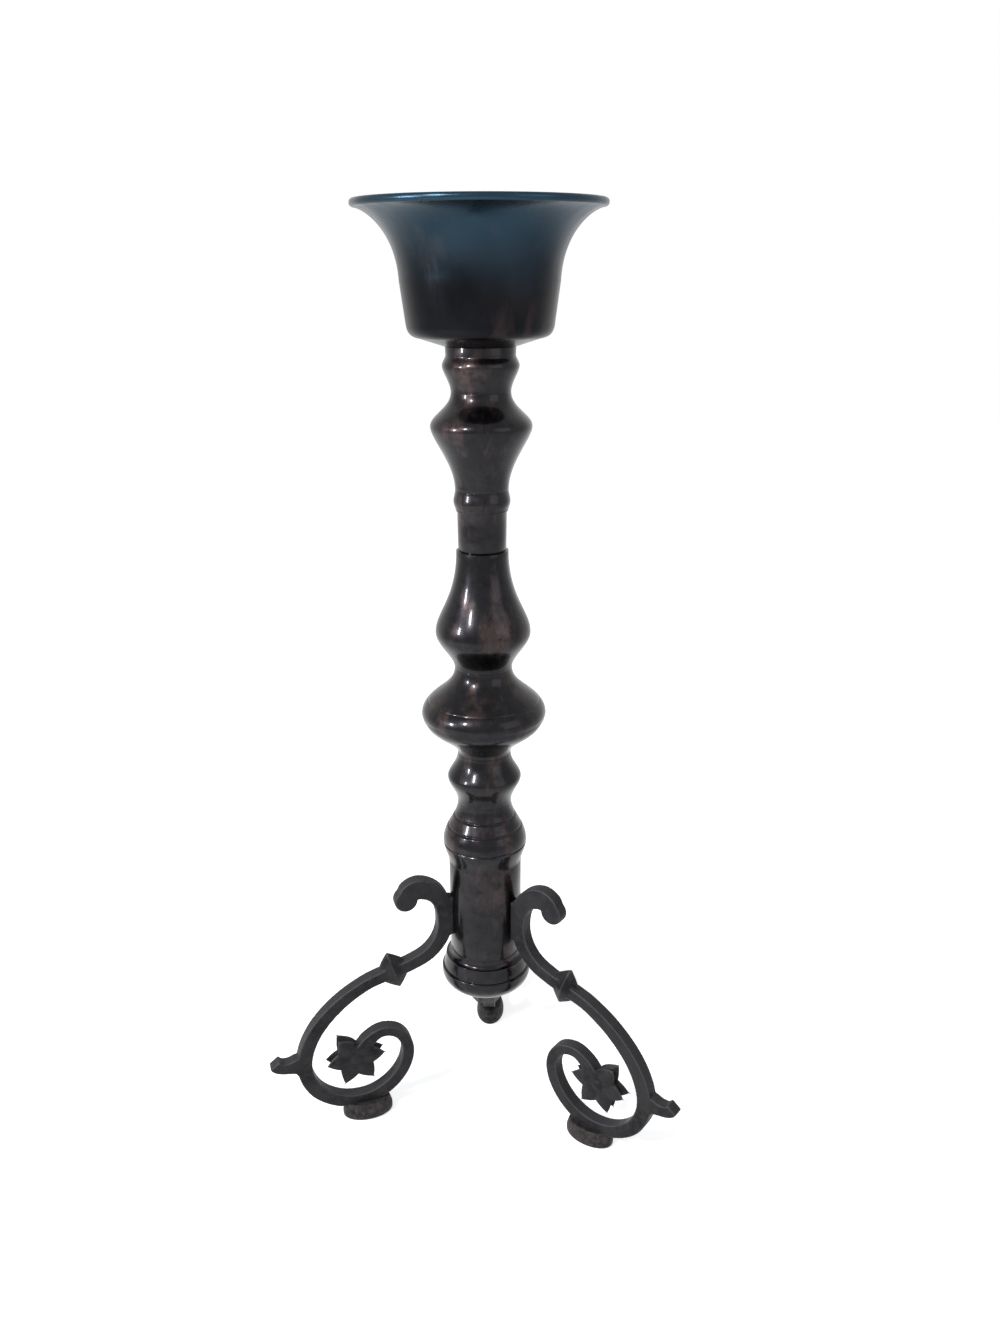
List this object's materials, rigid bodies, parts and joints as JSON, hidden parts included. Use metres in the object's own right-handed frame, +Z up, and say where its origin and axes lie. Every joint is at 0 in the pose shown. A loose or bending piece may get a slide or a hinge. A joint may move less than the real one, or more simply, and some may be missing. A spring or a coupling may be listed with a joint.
{
  "type": "taper candlestick",
  "caption": "Tall taper candlestick: bell cup on a turned knopped column, three cast scroll legs with flower volutes on oval foot pads.",
  "frame": {"origin": "on the floor, on the axis of the column", "axes": "+Z up along the column, -Y towards the front, between the left and right legs"},
  "size_m": [0.2276, 0.2072, 0.5],
  "materials": {
    "dark_bronze": "glossy dark brown patina",
    "cast_iron": "dull dark grey, slightly pitted",
    "plain_steel": "dull, darkened",
    "socket_brass": "tarnished"
  },
  "bodies": {
    "root": {"bell_cup": "dark_bronze", "neck_piece": "dark_bronze", "upper_knop": "dark_bronze", "upper_stem": "dark_bronze", "vase_section": "dark_bronze", "disc_knop": "dark_bronze", "small_knop": "dark_bronze", "ringed_knop": "dark_bronze", "base_drum": "dark_bronze", "base_collar": "dark_bronze", "candle_socket": "socket_brass", "cup_washer": "socket_brass", "tie_rod": "plain_steel", "tie_rod_washer": "plain_steel", "tie_rod_nut": "plain_steel", "leg_left": "cast_iron", "leg_right": "cast_iron", "leg_back": "cast_iron", "leg_screws_left": "plain_steel", "leg_screws_right": "plain_steel", "leg_screws_back": "plain_steel", "foot_pad_left": "cast_iron", "foot_pad_right": "cast_iron", "foot_pad_back": "cast_iron", "foot_screw_left": "plain_steel", "foot_screw_right": "plain_steel", "foot_screw_back": "plain_steel"}
  },
  "joints": []
}
